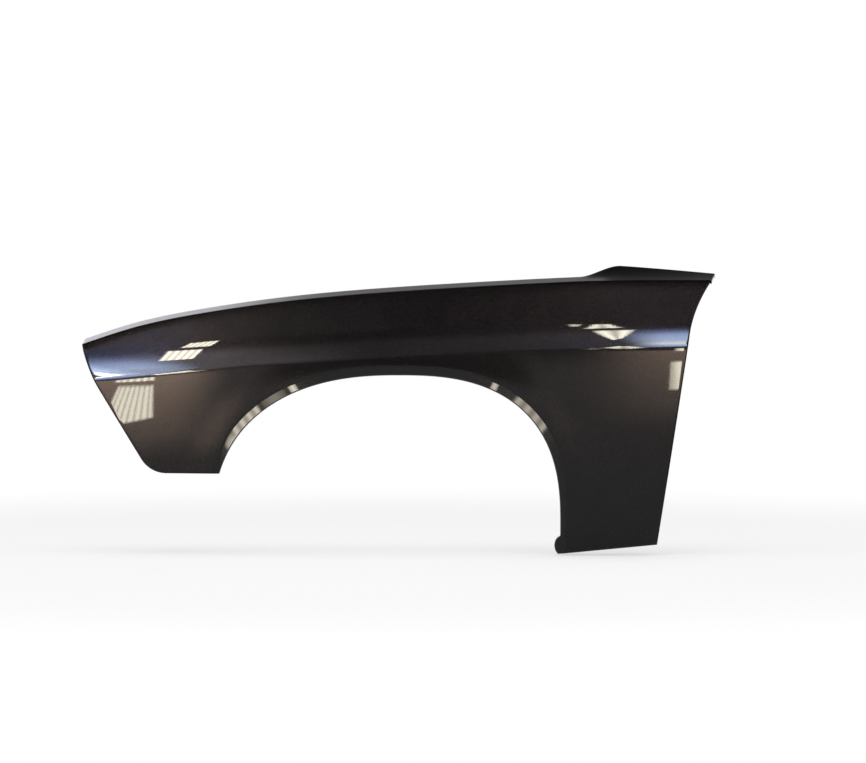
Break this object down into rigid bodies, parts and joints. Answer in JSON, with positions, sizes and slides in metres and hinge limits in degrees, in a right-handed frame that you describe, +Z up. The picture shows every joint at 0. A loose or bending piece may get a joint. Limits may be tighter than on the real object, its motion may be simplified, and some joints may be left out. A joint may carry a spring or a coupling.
{
  "type": "car fender",
  "caption": "Left front fender of a coupe, pressed from sheet steel, with a wheel opening, side crease and bolting flanges.",
  "frame": {"origin": "on the underside of the locating land in the middle of the hood-side bolting flange, half way between its two slots", "axes": "+X rearwards along the car, +Y inboard, +Z up; the outer side of the panel faces -Y"},
  "size_m": [1.4273, 0.157, 0.6471],
  "materials": {
    "paint": "gloss, very dark charcoal with a fine metallic flake under clear coat"
  },
  "bodies": {
    "root": {"fender_panel": "paint"}
  },
  "joints": []
}
